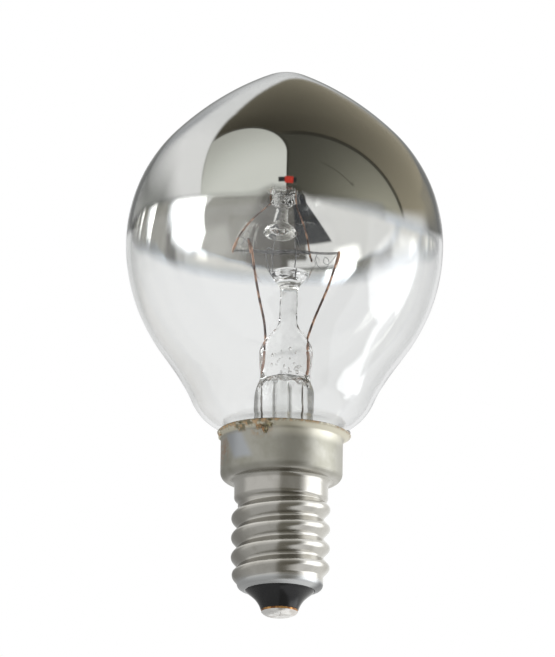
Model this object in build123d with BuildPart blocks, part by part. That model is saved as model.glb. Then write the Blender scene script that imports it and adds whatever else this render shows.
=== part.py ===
from build123d import *
from math import acos, asin, atan2, cos, degrees, hypot, radians, sin, sqrt
import os

os.makedirs("parts", exist_ok=True)

# Mirror top lamp: a small clear globe with a silvered pointed crown, on a screw cap.
# Millimetres. The Z axis is the lamp's own axis, from the centre contact up to the crown.
# The origin is the lowest point of the centre contact.

# Centre contact and black glass nose
CONTACT_HEIGHT = 0.85
CONTACT_DIAMETER = 5.2
CONTACT_FLAT_DIAMETER = 3.0
CONTACT_LEAD_DEPTH = 0.25
EYELET_THICKNESS = 0.3
EYELET_BORE = 1.0
EYELET_SLEEVE_WALL = 0.3
EYELET_SLEEVE_LENGTH = 1.6
NOSE_HEIGHT = 2.65
NOSE_RIM = 0.15
NOSE_SAG = 0.25
NOSE_PLUG_LENGTH = 1.2

# Screw shell with its collar
CAP_WALL = 0.25
SCREW_DIAMETER = 14.0
SCREW_LENGTH = 16.0
THREAD_DEPTH = 0.9
THREAD_PITCH = 2.822
THREAD_CREST_RADIUS = 0.75
THREAD_ROOT_FLAT = 0.3
THREAD_START_ANGLE = 195.0
THREAD_START_RISE = 2.2
THREAD_END_DROP = 0.35
THREAD_RUNOUT_TURNS = 0.2
THREAD_SINK = 0.12
THREAD_BASE_DEPTH = 0.7
ROLL_DEPTH = 1.5
ROLL_HEIGHT = 1.4
ROLL_FILLET = 1.6
BARREL_STEP = 0.55
BARREL_LENGTH = 3.2
BARREL_FILLET = 0.25
COLLAR_DIAMETER = 17.3
COLLAR_LENGTH = 6.0
COLLAR_CORNER_RADIUS = 1.7
COLLAR_ROOT_FILLET = 0.2
LIP_FLARE = 0.8
LIP_HEIGHT = 0.9
LIP_FILLET = 0.8
SOLDER_OVERHANG = 0.25
SOLDER_RISE = 0.45
SOLDER_LAP = 0.35
SOLDER_ARC = 9.0

# Blown globe
GLOBE_DIAMETER = 45.0
GLOBE_RISE = 27.6
GLASS_WALL = 0.55
SHOULDER_RADIUS = 22.0
SHOULDER_ANGLE = 45.25
CROWN_RADIUS = 44.2
TIP_RADIUS = 7.4
BELLY_RADIUS = 25.9
BELLY_ANGLE = 35.1
FLANK_HANDLE = 3.1
NECK_SETBACK = 1.2
NECK_FILLET_RADIUS = 2.4
NECK_CURL_RADIUS = 7.1
NECK_CURL_LOW_ANGLE = 67.4
NECK_CURL_HIGH_ANGLE = 22.7
CEMENT_GAP = 0.8
CEMENT_SETBACK = 0.5
MIRROR_EDGE_RISE = 2.1
MIRROR_FILM = 0.1

# Glass stem
FLANGE_CLEARANCE = 1.5
FLANGE_WIDTH = 0.8
FLARE_TUBE_DIAMETER = 8.4
FLARE_TUBE_WALL = 0.7
FLARE_LENGTH = 11.2
ROOF_RISE = 1.0
ROOF_RIM = 0.4
PINCH_SHOULDER = 1.9
PINCH_LENGTH = 4.8
PINCH_TAPER = 2.9
PINCH_THICKNESS = 3.4
PINCH_EDGE = 0.64
PORT_DIAMETER = 1.1
PORT_SLANT = 45.0
ROD_DIAMETER = 2.55
ROD_LENGTH = 5.2
BUTTON_DIAMETER = 5.2
BUTTON_HEIGHT = 2.5
BUTTON_RIM_DROP = 0.9
BUTTON_TOP_ROUND = 0.5
EXHAUST_DIAMETER = 2.8
EXHAUST_WALL = 0.55
EXHAUST_REACH = 5.5

# Wires
LEAD_DIAMETER = 0.35
LEAD_EMBED = 1.0
LEAD_FOLD_LENGTH = 1.5
LEAD_BEND_RADIUS = 1.6
SEAL_WIRE_DIAMETER = 0.42
OUTER_LEAD_DIAMETER = 0.3
OUTER_LEAD_EMBED = 0.8
OUTER_LEAD_CLEARANCE = 0.45
OUTER_LEAD_BEND_RADIUS = 0.45
CONTACT_LEAD_DROP = 2.0
CONTACT_LEAD_SLANT = 4.5
RIM_LEAD_CLEARANCE = 0.1
RIM_LEAD_END_DROP = 0.1
HOOK_DIAMETER = 0.2
HOOK_RISE = 2.7
HOOK_EMBED = 1.1
HOOK_INSET = 0.95
HOOK_TAIL = 0.35
FILAMENT_LENGTH = 13.3
FILAMENT_ANGLE = 20.8
FILAMENT_CENTRE_X = 1.2
FILAMENT_CENTRE_Y = -0.15
FILAMENT_COIL_DIAMETER = 0.5
FILAMENT_WIRE_DIAMETER = 0.1
FILAMENT_PITCH = 0.25
FILAMENT_JOINT_DIAMETER = 0.13
FILAMENT_TAIL = 0.9
FILAMENT_TAIL_OVERRUN = 0.3
FILAMENT_CLEARANCE = 0.02

# Heights along the axis, worked out from the sizes above
shell_bottom = CONTACT_HEIGHT + NOSE_HEIGHT
collar_bottom = shell_bottom + SCREW_LENGTH
collar_top = collar_bottom + COLLAR_LENGTH
lip_top = collar_top + LIP_HEIGHT
neck_top = lip_top - NECK_SETBACK
equator = lip_top + GLOBE_RISE
flange_bottom = collar_bottom + CAP_WALL + FLANGE_CLEARANCE
flange_top = flange_bottom + FLARE_TUBE_WALL
flare_top = flange_top + FLARE_LENGTH
roof_height = flare_top + ROOF_RISE
pinch_bottom = flare_top + PINCH_SHOULDER
pinch_top = pinch_bottom + PINCH_LENGTH
rod_bottom = pinch_top + PINCH_TAPER
button_bottom = rod_bottom + ROD_LENGTH
button_top = button_bottom + BUTTON_HEIGHT
filament_height = button_top + HOOK_RISE
exhaust_tip = flange_bottom - EXHAUST_REACH
seal_wire_top = pinch_top - LEAD_EMBED
seal_wire_bottom = roof_height + OUTER_LEAD_EMBED

# Radii worked out from the sizes above
contact_radius = CONTACT_DIAMETER / 2
root_radius = SCREW_DIAMETER / 2 - THREAD_DEPTH
root_bore = root_radius - CAP_WALL
edge_radius = root_radius - ROLL_DEPTH
barrel_radius = root_radius + BARREL_STEP
collar_radius = COLLAR_DIAMETER / 2
collar_bore = collar_radius - CAP_WALL
lip_radius = collar_radius + LIP_FLARE
neck_radius = collar_bore - CEMENT_GAP
globe_radius = GLOBE_DIAMETER / 2
tube_radius = FLARE_TUBE_DIAMETER / 2
tube_bore = tube_radius - FLARE_TUBE_WALL
exhaust_radius = EXHAUST_DIAMETER / 2
exhaust_bore = exhaust_radius - EXHAUST_WALL
rod_radius = ROD_DIAMETER / 2
button_radius = BUTTON_DIAMETER / 2
lead_offset = tube_bore - OUTER_LEAD_CLEARANCE - OUTER_LEAD_DIAMETER / 2
pinch_width = 2 * (lead_offset + SEAL_WIRE_DIAMETER / 2 + PINCH_EDGE)
rim_lead_radius = collar_bore - RIM_LEAD_CLEARANCE - OUTER_LEAD_DIAMETER / 2


def polar(centre, radius, angle):
    """Point at a radius and an angle in degrees from a centre, in the half section."""
    return (centre[0] + radius * cos(radians(angle)), centre[1] + radius * sin(radians(angle)))


# Arc centres of the globe's half section, as (radius, height)
belly_centre = (globe_radius - BELLY_RADIUS, equator)
shoulder_centre = (globe_radius - SHOULDER_RADIUS, equator)
crown_centre = polar(shoulder_centre, SHOULDER_RADIUS - CROWN_RADIUS, SHOULDER_ANGLE)
tip_rise = sqrt((CROWN_RADIUS - TIP_RADIUS) ** 2 - crown_centre[0] ** 2)
tip_centre = (0, crown_centre[1] + tip_rise)
crown_end_angle = degrees(atan2(tip_rise, -crown_centre[0]))
fillet_centre = (neck_radius + NECK_FILLET_RADIUS, neck_top)
curl_centre = polar(fillet_centre, NECK_FILLET_RADIUS + NECK_CURL_RADIUS, 180 - NECK_CURL_LOW_ANGLE)
apex = tip_centre[1] + TIP_RADIUS


def draw_crown(inset, start_angle):
    """Shoulder, crown and tip arcs of the globe, moved inwards by inset, up to the axis."""
    CenterArc(shoulder_centre, SHOULDER_RADIUS - inset, start_angle, SHOULDER_ANGLE - start_angle)
    CenterArc(crown_centre, CROWN_RADIUS - inset, SHOULDER_ANGLE, crown_end_angle - SHOULDER_ANGLE)
    CenterArc(tip_centre, TIP_RADIUS - inset, crown_end_angle, 90 - crown_end_angle)


def draw_globe(inset):
    """One wall line of the globe's half section, from the neck's end up to the axis."""
    neck = neck_radius - inset
    curl_sweep = NECK_CURL_LOW_ANGLE - NECK_CURL_HIGH_ANGLE
    low = polar(curl_centre, NECK_CURL_RADIUS - inset, -NECK_CURL_HIGH_ANGLE)
    low_handle = polar(low, FLANK_HANDLE, 90 - NECK_CURL_HIGH_ANGLE)
    high = polar(belly_centre, BELLY_RADIUS - inset, -BELLY_ANGLE)
    high_handle = polar(high, -FLANK_HANDLE, 90 - BELLY_ANGLE)
    Line((neck, flange_top), (neck, neck_top))
    CenterArc(fillet_centre, NECK_FILLET_RADIUS + inset, 180, -NECK_CURL_LOW_ANGLE)
    CenterArc(curl_centre, NECK_CURL_RADIUS - inset, -NECK_CURL_LOW_ANGLE, curl_sweep)
    Bezier(low, low_handle, high_handle, high)
    CenterArc(belly_centre, BELLY_RADIUS - inset, -BELLY_ANGLE, BELLY_ANGLE)
    draw_crown(inset, 0)


# Blown globe: one wall from the neck's end to the pointed tip
with BuildPart() as glass_envelope:
    with BuildSketch(Plane.XZ):
        with BuildLine():
            draw_globe(0)
            draw_globe(GLASS_WALL)
            Line((0, apex), (0, apex - GLASS_WALL))
            Line((neck_radius, flange_top), (neck_radius - GLASS_WALL, flange_top))
        make_face()
    revolve(axis=Axis.Z)

# Metal film on the inside of the crown
film_inset = GLASS_WALL + MIRROR_FILM
film_angle = degrees(asin(MIRROR_EDGE_RISE / (SHOULDER_RADIUS - GLASS_WALL)))
film_edge_outer = polar(shoulder_centre, SHOULDER_RADIUS - GLASS_WALL, film_angle)
film_edge_inner = polar(shoulder_centre, SHOULDER_RADIUS - film_inset, film_angle)
with BuildPart() as crown_mirror:
    with BuildSketch(Plane.XZ):
        with BuildLine():
            draw_crown(GLASS_WALL, film_angle)
            draw_crown(film_inset, film_angle)
            Line((0, apex - GLASS_WALL), (0, apex - film_inset))
            Line(film_edge_outer, film_edge_inner)
        make_face()
    revolve(axis=Axis.Z)

# The filament's line crosses above the button, with its left end towards -Y
up = Vector(0, 0, 1)
along = Vector(cos(radians(FILAMENT_ANGLE)), sin(radians(FILAMENT_ANGLE)), 0)
across = Vector(-along.Y, along.X, 0)
filament_middle = Vector(FILAMENT_CENTRE_X, FILAMENT_CENTRE_Y, filament_height)
coil_radius = (FILAMENT_COIL_DIAMETER - FILAMENT_WIRE_DIAMETER) / 2
coil_length = FILAMENT_LENGTH - 2 * FILAMENT_TAIL
coil_start = filament_middle - along * (coil_length / 2)
tail_length = FILAMENT_TAIL + FILAMENT_TAIL_OVERRUN
wire_radius = FILAMENT_WIRE_DIAMETER / 2

# Coiled filament with a straight tail at each end
with BuildPart() as filament:
    with BuildLine() as coil:
        Helix(FILAMENT_PITCH, coil_length, coil_radius, center=coil_start, direction=along)
    coil_wire = coil.wire()
    with BuildSketch(Plane(coil_wire @ 0, z_dir=coil_wire % 0)):
        Circle(wire_radius)
    sweep(path=coil_wire, is_frenet=True)
    with Locations(coil_wire @ 0, coil_wire @ 1):
        Sphere(FILAMENT_JOINT_DIAMETER / 2)
    with BuildSketch(Plane(coil_wire @ 0, z_dir=-along), Plane(coil_wire @ 1, z_dir=along)):
        Circle(wire_radius)
    extrude(amount=tail_length)

filament_left = coil_wire @ 0 - along * FILAMENT_TAIL
filament_right = coil_wire @ 1 + along * FILAMENT_TAIL


def inner_lead(side, eye):
    """Lead wire from its weld in the pinch up to a filament tail, folded over that tail."""
    fold_radius = LEAD_DIAMETER / 2 + wire_radius + FILAMENT_CLEARANCE
    weld = Vector(side * lead_offset, 0, seal_wire_top)
    leave = Vector(side * lead_offset, 0, pinch_top)
    rise_end = eye + across * fold_radius
    rise_start = rise_end - up * LEAD_FOLD_LENGTH
    fall_start = eye - across * fold_radius
    with BuildPart() as lead:
        with BuildLine() as path:
            FilletPolyline(weld, leave, rise_start, rise_end, radius=LEAD_BEND_RADIUS)
            ThreePointArc(rise_end, eye + up * fold_radius, fall_start)
            Line(fall_start, fall_start - up * LEAD_FOLD_LENGTH)
        with BuildSketch(Plane(weld)):
            Circle(LEAD_DIAMETER / 2)
        sweep(path=path.wire())
    return lead


inner_lead_left = inner_lead(-1, filament_left)
inner_lead_right = inner_lead(1, filament_right)


def seal_wire(side):
    """Copper-clad wire through the pinch, between an inner and an outer lead."""
    with BuildPart() as wire:
        with BuildSketch(Plane((side * lead_offset, 0, seal_wire_bottom))):
            Circle(SEAL_WIRE_DIAMETER / 2)
        extrude(amount=seal_wire_top - seal_wire_bottom)
    return wire


seal_wire_left = seal_wire(-1)
seal_wire_right = seal_wire(1)


def outer_lead(points, bend_radius):
    """Outer lead along straight runs, from a seal wire downwards."""
    with BuildPart() as lead:
        with BuildLine() as path:
            FilletPolyline(*points, radius=bend_radius)
        with BuildSketch(Plane(points[0])):
            Circle(OUTER_LEAD_DIAMETER / 2)
        sweep(path=path.wire())
    return lead


# Outer lead to the centre contact: down the flare tube, past the exhaust tip, to the axis
contact_turn = exhaust_tip - CONTACT_LEAD_DROP
outer_lead_contact = outer_lead(
    [
        (-lead_offset, 0, seal_wire_bottom),
        (-lead_offset, 0, contact_turn),
        (0, 0, contact_turn - CONTACT_LEAD_SLANT),
        (0, 0, CONTACT_LEAD_DEPTH),
    ],
    LEAD_BEND_RADIUS,
)

# Outer lead to the shell: out under the flange, then up through the cement to the lip
cross_height = flange_bottom - FLANGE_CLEARANCE / 2
rim_lead_top = lip_top - RIM_LEAD_END_DROP
outer_lead_shell = outer_lead(
    [
        (lead_offset, 0, seal_wire_bottom),
        (lead_offset, 0, cross_height),
        (rim_lead_radius, 0, cross_height),
        (rim_lead_radius, 0, rim_lead_top),
    ],
    OUTER_LEAD_BEND_RADIUS,
)

# Fine support wires that stand in the button, each hooked over the filament
filament_foot = filament_middle - along * filament_middle.dot(along)
hook_bend = FILAMENT_COIL_DIAMETER / 2 + HOOK_DIAMETER / 2 + FILAMENT_CLEARANCE
hook_reach = button_radius - HOOK_INSET


def support_hook(side):
    """Support wire from inside the button, up one side of the filament and over it."""
    crossing = filament_foot + along * (side * hook_reach)
    rise_end = crossing + across * hook_bend
    rise_start = Vector(rise_end.X, rise_end.Y, button_top - HOOK_EMBED)
    fall_start = crossing - across * hook_bend
    with BuildPart() as hook:
        with BuildLine() as path:
            Line(rise_start, rise_end)
            ThreePointArc(rise_end, crossing + up * hook_bend, fall_start)
            Line(fall_start, fall_start - up * HOOK_TAIL)
        with BuildSketch(Plane(rise_start)):
            Circle(HOOK_DIAMETER / 2)
        sweep(path=path.wire())
    return hook


support_hook_left = support_hook(-1)
support_hook_right = support_hook(1)

# Glass rod on the pinch, melted at its top into a button that holds the support wires
with BuildPart() as support_rod:
    with BuildSketch(Plane.XZ):
        with BuildLine():
            rim = (button_radius, button_top - BUTTON_RIM_DROP)
            crest = (button_radius - BUTTON_TOP_ROUND, button_top)
            Polyline((0, button_top), (0, rod_bottom), (rod_radius, rod_bottom))
            Line((rod_radius, rod_bottom), (rod_radius, button_bottom))
            Bezier(
                (rod_radius, button_bottom),
                (rod_radius, rim[1]),
                (button_radius, button_bottom),
                rim,
            )
            Bezier(rim, (button_radius, button_top), crest)
            Line(crest, (0, button_top))
        make_face()
    revolve(axis=Axis.Z)
    add(support_hook_left.part, mode=Mode.SUBTRACT)
    add(support_hook_right.part, mode=Mode.SUBTRACT)

# Exhaust tube on the axis, melted shut at its lower tip
with BuildPart() as exhaust_tube:
    with BuildSketch(Plane.XZ):
        with BuildLine():
            tip_middle = (0, exhaust_tip + exhaust_radius)
            Line((exhaust_radius, roof_height), (exhaust_radius, tip_middle[1]))
            CenterArc(tip_middle, exhaust_radius, 0, -90)
            Line((0, exhaust_tip), (0, exhaust_tip + EXHAUST_WALL))
            CenterArc(tip_middle, exhaust_bore, -90, 90)
            Line((exhaust_bore, tip_middle[1]), (exhaust_bore, roof_height))
            Line((exhaust_bore, roof_height), (exhaust_radius, roof_height))
        make_face()
    revolve(axis=Axis.Z)

# Flare tube and pressed pinch: one glass piece, with the wires sealed through it
flare_radius = neck_radius - FLANGE_WIDTH - tube_radius
flare_centre = (tube_radius + flare_radius, flange_top + flare_radius)
roof_radius = exhaust_radius + ROOF_RIM
port_way = Vector(0, -cos(radians(PORT_SLANT)), sin(radians(PORT_SLANT)))
port_start = Vector(0, 0, roof_height) - port_way * PORT_DIAMETER
with BuildPart() as stem_flare:
    with BuildSketch(Plane.XZ):
        with BuildLine():
            Line((tube_bore, flare_top), (tube_radius, flare_top))
            Line((tube_radius, flare_top), (tube_radius, flare_centre[1]))
            CenterArc(flare_centre, flare_radius, 180, 90)
            Line((flare_centre[0], flange_top), (neck_radius, flange_top))
            Line((neck_radius, flange_top), (neck_radius, flange_bottom))
            Line((neck_radius, flange_bottom), (flare_centre[0], flange_bottom))
            CenterArc(flare_centre, flare_radius + FLARE_TUBE_WALL, 270, -90)
            Line((tube_bore, flare_centre[1]), (tube_bore, flare_top))
        make_face()
    revolve(axis=Axis.Z)
    with BuildSketch(Plane.XY.offset(flare_top)):
        Circle(tube_radius)
    with BuildSketch(Plane.XY.offset(pinch_bottom)):
        SlotOverall(pinch_width, PINCH_THICKNESS)
    loft()
    with BuildSketch(Plane.XY.offset(pinch_bottom)):
        SlotOverall(pinch_width, PINCH_THICKNESS)
    extrude(amount=PINCH_LENGTH)
    with BuildSketch(Plane.XY.offset(pinch_top)):
        SlotOverall(pinch_width, PINCH_THICKNESS)
    with BuildSketch(Plane.XY.offset(rod_bottom)):
        Circle(rod_radius)
    loft()
    with BuildSketch(Plane.XZ):
        with BuildLine():
            Polyline((0, roof_height), (0, flare_top), (tube_bore, flare_top))
            Polyline((tube_bore, flare_top), (roof_radius, roof_height), (0, roof_height))
        make_face()
    revolve(axis=Axis.Z, mode=Mode.SUBTRACT)
    with BuildSketch(Plane(port_start, x_dir=(1, 0, 0), z_dir=port_way)):
        Circle(PORT_DIAMETER / 2)
    extrude(amount=2 * tube_radius, mode=Mode.SUBTRACT)
    for wire in (inner_lead_left, inner_lead_right, seal_wire_left, seal_wire_right):
        add(wire.part, mode=Mode.SUBTRACT)
    add(outer_lead_contact.part, mode=Mode.SUBTRACT)
    add(outer_lead_shell.part, mode=Mode.SUBTRACT)

# Half section of the thread's ridge: a round crest with straight flanks
ridge_half_width = (THREAD_PITCH - THREAD_ROOT_FLAT) / 2
crest_middle = THREAD_DEPTH - THREAD_CREST_RADIUS
flank_reach = hypot(ridge_half_width, crest_middle)
flank_start = atan2(-crest_middle, ridge_half_width)
flank_angle = degrees(flank_start + acos(THREAD_CREST_RADIUS / flank_reach))
flank_end = polar((0, crest_middle), THREAD_CREST_RADIUS, flank_angle)
thread_start = shell_bottom + THREAD_START_RISE
thread_top = collar_bottom - BARREL_LENGTH
thread_turns = (thread_top - THREAD_END_DROP - thread_start) / THREAD_PITCH
runout_height = THREAD_RUNOUT_TURNS * THREAD_PITCH
runout_drop = THREAD_DEPTH + THREAD_SINK
runout_angle = degrees(atan2(runout_drop, runout_height))


def thread_ridge(start_radius, height, cone_angle):
    """Helical ridge that starts at angle 0 and height 0; cone_angle widens or narrows it."""
    with BuildPart() as ridge:
        with BuildLine() as path:
            Helix(THREAD_PITCH, height, start_radius, cone_angle=cone_angle)
        with BuildSketch(Plane.XZ):
            with BuildLine():
                low_base = (start_radius, -ridge_half_width)
                high_base = (start_radius, ridge_half_width)
                low_tangent = (start_radius + flank_end[1], -flank_end[0])
                high_tangent = (start_radius + flank_end[1], flank_end[0])
                Line(low_base, low_tangent)
                ThreePointArc(low_tangent, (start_radius + THREAD_DEPTH, 0), high_tangent)
                Line(high_tangent, high_base)
                Polyline(
                    high_base,
                    (start_radius - THREAD_BASE_DEPTH, ridge_half_width),
                    (start_radius - THREAD_BASE_DEPTH, -ridge_half_width),
                    low_base,
                )
            make_face()
        sweep(path=path.wire(), is_frenet=True)
    return ridge.part


def whole_thread(base_radius):
    """Ridge on a base radius, with an end that sinks away at the top and at the bottom."""
    full_height = thread_turns * THREAD_PITCH
    pieces = [
        (thread_ridge(base_radius, full_height, 0), 0, 0),
        (thread_ridge(base_radius, runout_height, -runout_angle), thread_turns, full_height),
        (
            thread_ridge(base_radius - runout_drop, runout_height, runout_angle),
            -THREAD_RUNOUT_TURNS,
            -runout_height,
        ),
    ]
    with BuildPart() as thread:
        for ridge, turns, rise in pieces:
            with Locations((0, 0, thread_start + rise)):
                add(ridge, rotation=(0, 0, THREAD_START_ANGLE + 360 * turns))
    return thread.part


# Inner corners of the shell's sheet, at its rolled edge and at its lip
collar_step = collar_radius - barrel_radius
corner_radius = min(COLLAR_CORNER_RADIUS, 0.95 * (collar_step - COLLAR_ROOT_FILLET))
roll_length = hypot(ROLL_DEPTH, ROLL_HEIGHT)
lip_length = hypot(LIP_FLARE, LIP_HEIGHT)
seat_radius = edge_radius - CAP_WALL * ROLL_HEIGHT / roll_length
seat_height = shell_bottom + CAP_WALL * ROLL_DEPTH / roll_length
mouth_radius = lip_radius - CAP_WALL * LIP_HEIGHT / lip_length
mouth_height = lip_top + CAP_WALL * LIP_FLARE / lip_length


def draw_shell_line():
    """Outer line of the shell's half section, from the rolled edge up to the flared lip."""
    FilletPolyline(
        (edge_radius, shell_bottom),
        (root_radius, shell_bottom + ROLL_HEIGHT),
        (root_radius, thread_top),
        (barrel_radius, thread_top + BARREL_STEP),
        (barrel_radius, collar_bottom),
        (collar_radius, collar_bottom),
        (collar_radius, collar_top),
        (lip_radius, lip_top),
        radius=[
            ROLL_FILLET,
            BARREL_FILLET,
            BARREL_FILLET,
            COLLAR_ROOT_FILLET,
            corner_radius,
            LIP_FILLET,
        ],
    )


# Room inside the shell, with the hollow behind the thread
with BuildPart() as shell_room:
    with BuildSketch(Plane.XZ):
        with BuildLine():
            draw_shell_line()
            offset(amount=CAP_WALL, side=Side.LEFT, closed=False)
            Polyline(
                (mouth_radius, mouth_height),
                (mouth_radius, mouth_height + CAP_WALL),
                (0, mouth_height + CAP_WALL),
                (0, seat_height - CAP_WALL),
                (seat_radius, seat_height - CAP_WALL),
                (seat_radius, seat_height),
            )
        make_face()
    revolve(axis=Axis.Z)
    add(whole_thread(root_bore))

# Screw shell: one thin sheet from the rolled edge up to the flared lip
with BuildPart() as cap_shell:
    with BuildSketch(Plane.XZ):
        with BuildLine():
            draw_shell_line()
            Polyline(
                (lip_radius, lip_top),
                (mouth_radius, mouth_height),
                (0, mouth_height),
                (0, seat_height),
                (seat_radius, seat_height),
                (edge_radius, shell_bottom),
            )
        make_face()
    revolve(axis=Axis.Z)
    add(whole_thread(root_radius))
    add(shell_room.part, mode=Mode.SUBTRACT)

# Black glass nose, moulded into the rolled edge of the shell and around the eyelet's sleeve
seat_corner = seat_height + (root_bore - seat_radius) * ROLL_HEIGHT / ROLL_DEPTH
plug_top = seat_corner + NOSE_PLUG_LENGTH
nose_tip_radius = contact_radius + NOSE_RIM
sleeve_radius = EYELET_BORE / 2 + EYELET_SLEEVE_WALL
with BuildPart() as cap_insulator:
    with BuildSketch(Plane.XZ):
        with BuildLine():
            FilletPolyline(
                (seat_radius, seat_height),
                (root_bore, seat_corner),
                (root_bore, plug_top),
                radius=[ROLL_FILLET - CAP_WALL],
            )
            Polyline(
                (root_bore, plug_top),
                (sleeve_radius, plug_top),
                (sleeve_radius, CONTACT_HEIGHT),
                (nose_tip_radius, CONTACT_HEIGHT),
            )
            SagittaArc((nose_tip_radius, CONTACT_HEIGHT), (seat_radius, seat_height), NOSE_SAG)
        make_face()
    revolve(axis=Axis.Z)

# Brass eyelet under the nose, with a sleeve for the lead
eyelet_bottom = CONTACT_HEIGHT - EYELET_THICKNESS
eyelet_bore = EYELET_BORE / 2
with BuildPart() as centre_contact:
    with BuildSketch(Plane.XY.offset(eyelet_bottom)):
        Circle(contact_radius)
        Circle(eyelet_bore, mode=Mode.SUBTRACT)
    extrude(amount=EYELET_THICKNESS)
    with BuildSketch(Plane.XY.offset(CONTACT_HEIGHT)):
        Circle(sleeve_radius)
        Circle(eyelet_bore, mode=Mode.SUBTRACT)
    extrude(amount=EYELET_SLEEVE_LENGTH)

# Solder dome with a flat end, run up into the eyelet around the lead
flat_radius = CONTACT_FLAT_DIAMETER / 2
with BuildPart() as contact_solder:
    with BuildSketch(Plane.XZ):
        with BuildLine():
            Line((0, 0), (flat_radius, 0))
            TangentArc((flat_radius, 0), (contact_radius, eyelet_bottom), tangent=(1, 0))
            Polyline(
                (contact_radius, eyelet_bottom),
                (eyelet_bore, eyelet_bottom),
                (eyelet_bore, CONTACT_HEIGHT),
                (0, CONTACT_HEIGHT),
                (0, 0),
            )
        make_face()
    revolve(axis=Axis.Z)
    add(outer_lead_contact.part, mode=Mode.SUBTRACT)

# Cement ring between the neck and the collar, around the lead that runs up to the lip
cement_bottom = collar_bottom + corner_radius + CEMENT_SETBACK
with BuildPart() as base_cement:
    with BuildSketch(Plane.XY.offset(cement_bottom)):
        Circle(collar_bore)
        Circle(neck_radius, mode=Mode.SUBTRACT)
    extrude(amount=neck_top - cement_bottom)
    add(outer_lead_shell.part, mode=Mode.SUBTRACT)

# Lump of solder over the end of that lead and over the lip
lump_inner = rim_lead_radius - OUTER_LEAD_DIAMETER / 2
lump_foot = mouth_radius - (mouth_height - rim_lead_top) * LIP_FLARE / LIP_HEIGHT
lap_radius = lip_radius - SOLDER_LAP * LIP_FLARE / lip_length
lap_height = lip_top - SOLDER_LAP * LIP_HEIGHT / lip_length
lump_turn = radians(SOLDER_ARC / 2)
lump_plane = Plane(
    (0, 0, 0),
    x_dir=(cos(lump_turn), -sin(lump_turn), 0),
    z_dir=(-sin(lump_turn), -cos(lump_turn), 0),
)
with BuildPart() as side_solder:
    with BuildSketch(lump_plane):
        with BuildLine():
            Polyline(
                (lump_inner, rim_lead_top),
                (lump_foot, rim_lead_top),
                (mouth_radius, mouth_height),
                (lip_radius, lip_top),
                (lap_radius, lap_height),
            )
            lump_side = (lip_radius + SOLDER_OVERHANG, lip_top)
            lump_crest = (mouth_radius - CAP_WALL, lip_top + SOLDER_RISE)
            ThreePointArc((lap_radius, lap_height), lump_side, lump_crest)
            Line(lump_crest, (lump_inner, rim_lead_top))
        make_face()
    revolve(axis=Axis.Z, revolution_arc=SOLDER_ARC)

pieces = {
    "glass_envelope": glass_envelope,
    "crown_mirror": crown_mirror,
    "stem_flare": stem_flare,
    "exhaust_tube": exhaust_tube,
    "support_rod": support_rod,
    "inner_lead_left": inner_lead_left,
    "inner_lead_right": inner_lead_right,
    "seal_wire_left": seal_wire_left,
    "seal_wire_right": seal_wire_right,
    "outer_lead_contact": outer_lead_contact,
    "outer_lead_shell": outer_lead_shell,
    "support_hook_left": support_hook_left,
    "support_hook_right": support_hook_right,
    "filament": filament,
    "cap_shell": cap_shell,
    "cap_insulator": cap_insulator,
    "centre_contact": centre_contact,
    "contact_solder": contact_solder,
    "base_cement": base_cement,
    "side_solder": side_solder,
}
for name, piece in pieces.items():
    piece.part.label = name
    export_step(piece.part, f"parts/{name}.step")
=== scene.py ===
import math
import random
from types import SimpleNamespace
import bmesh
import bpy
from mathutils import Matrix, Vector, noise


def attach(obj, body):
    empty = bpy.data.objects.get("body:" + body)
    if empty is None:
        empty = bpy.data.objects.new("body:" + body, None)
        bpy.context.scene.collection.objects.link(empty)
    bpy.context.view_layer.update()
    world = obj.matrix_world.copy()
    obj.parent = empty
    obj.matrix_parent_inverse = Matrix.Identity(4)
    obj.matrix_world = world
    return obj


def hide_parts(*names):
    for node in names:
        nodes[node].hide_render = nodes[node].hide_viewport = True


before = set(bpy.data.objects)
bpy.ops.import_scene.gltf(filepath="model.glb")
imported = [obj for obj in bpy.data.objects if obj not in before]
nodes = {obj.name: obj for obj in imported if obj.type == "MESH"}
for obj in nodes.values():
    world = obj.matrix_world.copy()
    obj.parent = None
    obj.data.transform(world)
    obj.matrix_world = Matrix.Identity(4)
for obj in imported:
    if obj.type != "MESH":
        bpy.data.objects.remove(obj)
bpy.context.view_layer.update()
scene = bpy.context.scene
MM = 0.001
DEGREES = 180 / math.pi

# Globe and its film, in millimetres and degrees, with the globe as in the solids
WALL = 0.55
EQUATOR = 54.0
GLOBE_RADIUS = 22.5
SHOULDER_RADIUS = 22.0
SHOULDER_ANGLE = 45.25
CROWN_RADIUS = 44.2
TIP_RADIUS = 7.4
BELLY_RADIUS = 25.9
BELLY_ANGLE = 35.1
FLANK_HANDLE = 3.1
NECK_RADIUS = 7.6
NECK_TOP = 25.2
NECK_FILLET = 2.4
CURL_RADIUS = 7.1
CURL_LOW = 67.4
CURL_HIGH = 22.7
FILM_FRONT = 0.03
FILM_BACK = 0.08
FILM_START = -4.0
FILM_LEAN = 0.04
FILM_GROWTH = 0.55
GLOBE_SEGMENTS = 224

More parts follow.
